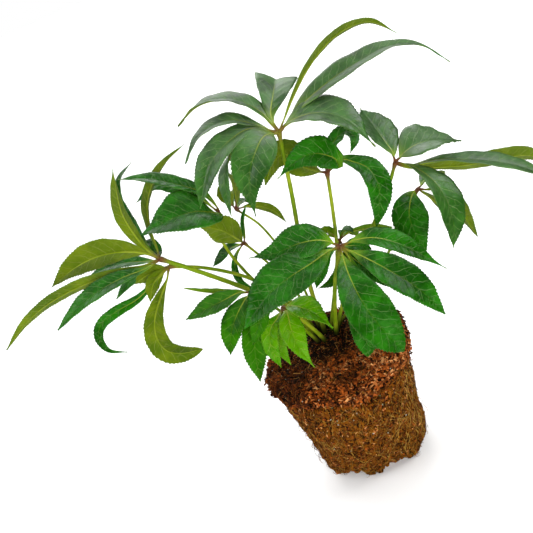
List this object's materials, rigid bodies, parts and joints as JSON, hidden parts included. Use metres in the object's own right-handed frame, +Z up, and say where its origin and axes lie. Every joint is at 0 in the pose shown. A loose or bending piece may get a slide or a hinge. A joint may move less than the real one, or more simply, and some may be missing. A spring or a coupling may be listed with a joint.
{
  "type": "potted-size hellebore plant",
  "caption": "Bare-rooted hellebore plant: toothed palmate leaves on slim stems that rise from one crown in a tapered root ball of coir and roots, which stands on its flat base.",
  "frame": {"origin": "centre of the root ball's flat base", "axes": "+Z up along the root ball's axis, -Y towards the front, where the lowest leaves hang, +X to the right"},
  "size_m": [0.4434, 0.2241, 0.3322],
  "materials": {
    "root_ball": "rough, fibrous",
    "petiole": "satin",
    "leaf_mature": "satin",
    "leaf_young": "satin"
  },
  "bodies": {
    "root": {"root_ball": "root_ball", "top_petiole": "petiole", "top_leaflets": "leaf_mature", "middle_petiole": "petiole", "middle_leaflets": "leaf_mature", "right_petiole": "petiole", "right_leaflets": "leaf_mature", "right_rear_petiole": "petiole", "right_rear_leaflets": "leaf_mature", "front_petiole": "petiole", "front_leaflets": "leaf_mature", "left_petiole": "petiole", "left_leaflets": "leaf_mature", "left_low_petiole": "petiole", "left_low_leaflets": "leaf_mature", "upper_left_petiole": "petiole", "upper_left_leaflets": "leaf_mature", "inner_left_petiole": "petiole", "inner_left_leaflets": "leaf_mature", "rear_left_petiole": "petiole", "rear_left_leaflets": "leaf_mature", "front_left_petiole": "petiole", "front_left_leaflets": "leaf_young", "front_low_petiole": "petiole", "front_low_leaflets": "leaf_young", "rear_low_petiole": "petiole", "rear_low_leaflets": "leaf_young"}
  },
  "joints": []
}
